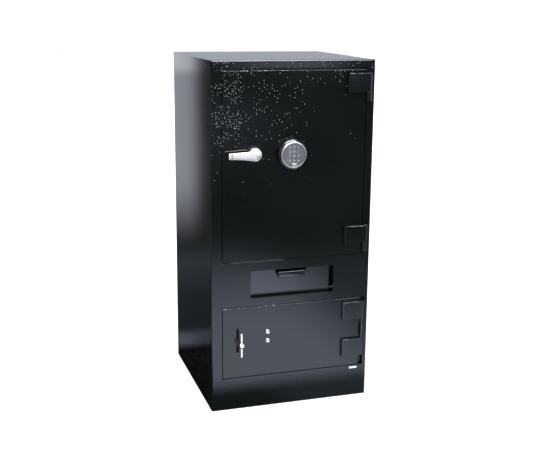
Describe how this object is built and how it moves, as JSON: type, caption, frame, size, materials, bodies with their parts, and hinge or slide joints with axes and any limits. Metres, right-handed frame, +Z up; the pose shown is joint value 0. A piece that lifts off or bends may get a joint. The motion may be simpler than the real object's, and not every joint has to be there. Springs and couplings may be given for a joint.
{
  "type": "drop safe",
  "caption": "Upright steel deposit safe with a large keypad door over a recessed pull-down hopper and a small two-key door.",
  "frame": {"origin": "centre of the underside of the cabinet, without what stands out from the doors", "axes": "+Z up, the doors face -Y, +X to the right as seen from the front"},
  "size_m": [0.508, 0.5405, 1.067],
  "materials": {
    "black_enamel": "gloss enamel with a fine texture",
    "grey_primer": "flat primer",
    "bright_steel": "turned and ground",
    "chrome": "satin to bright plate",
    "brass": "machined",
    "keypad_face": "satin",
    "key_pad": "satin",
    "circuit_board": "lacquered",
    "battery": "gloss",
    "tag": "matte"
  },
  "bodies": {
    "cabinet": {"left_side": "black_enamel", "right_side": "black_enamel", "top_plate": "black_enamel", "floor_plate": "black_enamel", "back_plate": "black_enamel", "header_rail": "black_enamel", "hopper_panel": "black_enamel", "kick_panel": "black_enamel", "divider": "black_enamel", "door_jambs": "black_enamel", "hinge_strip": "black_enamel", "hinge_lugs": "black_enamel", "hinge_pins": "black_enamel", "hopper_housing": "black_enamel", "drop_baffle": "black_enamel", "shelf_rails": "black_enamel", "shelf": "grey_primer", "blank_tag": "tag"},
    "upper_door": {"upper_door_plate": "black_enamel", "upper_hinge_leaves": "black_enamel", "upper_door_bars": "grey_primer", "upper_boltwork_cover": "grey_primer", "upper_cover_screws": "bright_steel", "upper_lock_case": "grey_primer", "lever_rosette": "black_enamel", "keypad_housing": "chrome", "keypad_face": "keypad_face", "keypad_board": "circuit_board"},
    "lever": {"lever_handle": "chrome", "lever_spindle": "bright_steel"},
    "upper_boltwork": {"upper_bolt_carriage": "bright_steel"},
    "upper_lock_bolt": {"swing_bolt": "brass"},
    "battery_tray": {"battery_drawer": "chrome", "battery": "battery"},
    "lower_door": {"lower_door_plate": "black_enamel", "lower_hinge_leaves": "black_enamel", "lower_door_bars": "grey_primer", "lower_boltwork_cover": "grey_primer", "lower_lock_case": "brass", "bar_rosette": "black_enamel", "key_noses": "chrome"},
    "bar_handle": {"bar_hub": "chrome", "bar_rod": "chrome"},
    "lower_boltwork": {"lower_bolt_carriage": "bright_steel"},
    "key_lock_bolt": {"lower_lock_bolt": "bright_steel"},
    "hopper": {"hopper_face": "black_enamel", "hopper_tray": "black_enamel", "pull_lip": "black_enamel"},
    "key_1_button": {"key_1": "key_pad"},
    "key_2_button": {"key_2": "key_pad"},
    "key_3_button": {"key_3": "key_pad"},
    "key_4_button": {"key_4": "key_pad"},
    "key_5_button": {"key_5": "key_pad"},
    "key_6_button": {"key_6": "key_pad"},
    "key_7_button": {"key_7": "key_pad"},
    "key_8_button": {"key_8": "key_pad"},
    "key_9_button": {"key_9": "key_pad"},
    "key_left_button": {"key_left": "key_pad"},
    "key_0_button": {"key_0": "key_pad"},
    "key_right_button": {"key_right": "key_pad"}
  },
  "joints": [
    {"name": "upper_door_hinge", "type": "hinge", "parent": "cabinet", "child": "upper_door", "pos_m": [0.234, -0.259, 0.755], "axis": [0, 0, 1], "range_deg": [0, 105]},
    {"name": "lower_door_hinge", "type": "hinge", "parent": "cabinet", "child": "lower_door", "pos_m": [0.234, -0.259, 0.21525], "axis": [0, 0, 1], "range_deg": [0, 105]},
    {"name": "hopper_hinge", "type": "hinge", "parent": "cabinet", "child": "hopper", "pos_m": [0.002, -0.232, 0.3625], "axis": [1, 0, 0], "range_deg": [0, 50]},
    {"name": "lever_turn", "type": "hinge", "parent": "upper_door", "child": "lever", "pos_m": [-0.124, -0.27, 0.79675], "axis": [0, -1, 0], "range_deg": [0, 80]},
    {"name": "upper_bolts_slide", "type": "slide", "parent": "upper_door", "child": "upper_boltwork", "axis": [-1, 0, 0], "range_m": [0, 0.025]},
    {"name": "upper_lock_bolt_swing", "type": "hinge", "parent": "upper_door", "child": "upper_lock_bolt", "pos_m": [-0.046, -0.222, 0.78675], "axis": [0, -1, 0], "range_deg": [0, 70]},
    {"name": "battery_tray_slide", "type": "slide", "parent": "upper_door", "child": "battery_tray", "axis": [0, 0, -1], "range_m": [0, 0.04]},
    {"name": "bar_turn", "type": "hinge", "parent": "lower_door", "child": "bar_handle", "pos_m": [-0.1665, -0.27, 0.21525], "axis": [0, -1, 0], "range_deg": [0, 80]},
    {"name": "lower_bolts_slide", "type": "slide", "parent": "lower_door", "child": "lower_boltwork", "axis": [-1, 0, 0], "range_m": [0, 0.025]},
    {"name": "key_lock_bolt_slide", "type": "slide", "parent": "lower_door", "child": "key_lock_bolt", "axis": [-1, 0, 0], "range_m": [0, 0.012]},
    {"name": "key_1_press", "type": "slide", "parent": "upper_door", "child": "key_1_button", "axis": [0, 1, 0], "range_m": [0, 0.0012], "stiffness_N_per_m": 900},
    {"name": "key_2_press", "type": "slide", "parent": "upper_door", "child": "key_2_button", "axis": [0, 1, 0], "range_m": [0, 0.0012], "stiffness_N_per_m": 900},
    {"name": "key_3_press", "type": "slide", "parent": "upper_door", "child": "key_3_button", "axis": [0, 1, 0], "range_m": [0, 0.0012], "stiffness_N_per_m": 900},
    {"name": "key_4_press", "type": "slide", "parent": "upper_door", "child": "key_4_button", "axis": [0, 1, 0], "range_m": [0, 0.0012], "stiffness_N_per_m": 900},
    {"name": "key_5_press", "type": "slide", "parent": "upper_door", "child": "key_5_button", "axis": [0, 1, 0], "range_m": [0, 0.0012], "stiffness_N_per_m": 900},
    {"name": "key_6_press", "type": "slide", "parent": "upper_door", "child": "key_6_button", "axis": [0, 1, 0], "range_m": [0, 0.0012], "stiffness_N_per_m": 900},
    {"name": "key_7_press", "type": "slide", "parent": "upper_door", "child": "key_7_button", "axis": [0, 1, 0], "range_m": [0, 0.0012], "stiffness_N_per_m": 900},
    {"name": "key_8_press", "type": "slide", "parent": "upper_door", "child": "key_8_button", "axis": [0, 1, 0], "range_m": [0, 0.0012], "stiffness_N_per_m": 900},
    {"name": "key_9_press", "type": "slide", "parent": "upper_door", "child": "key_9_button", "axis": [0, 1, 0], "range_m": [0, 0.0012], "stiffness_N_per_m": 900},
    {"name": "key_left_press", "type": "slide", "parent": "upper_door", "child": "key_left_button", "axis": [0, 1, 0], "range_m": [0, 0.0012], "stiffness_N_per_m": 900},
    {"name": "key_0_press", "type": "slide", "parent": "upper_door", "child": "key_0_button", "axis": [0, 1, 0], "range_m": [0, 0.0012], "stiffness_N_per_m": 900},
    {"name": "key_right_press", "type": "slide", "parent": "upper_door", "child": "key_right_button", "axis": [0, 1, 0], "range_m": [0, 0.0012], "stiffness_N_per_m": 900}
  ],
  "couplings": [
    {"joint": "upper_bolts_slide", "follows": "lever_turn", "m_per_rad": 0.017905},
    {"joint": "upper_lock_bolt_swing", "follows": "lever_turn", "ratio": 0.875},
    {"joint": "lower_bolts_slide", "follows": "bar_turn", "m_per_rad": 0.017905},
    {"joint": "key_lock_bolt_slide", "follows": "bar_turn", "m_per_rad": 0.0085944}
  ]
}
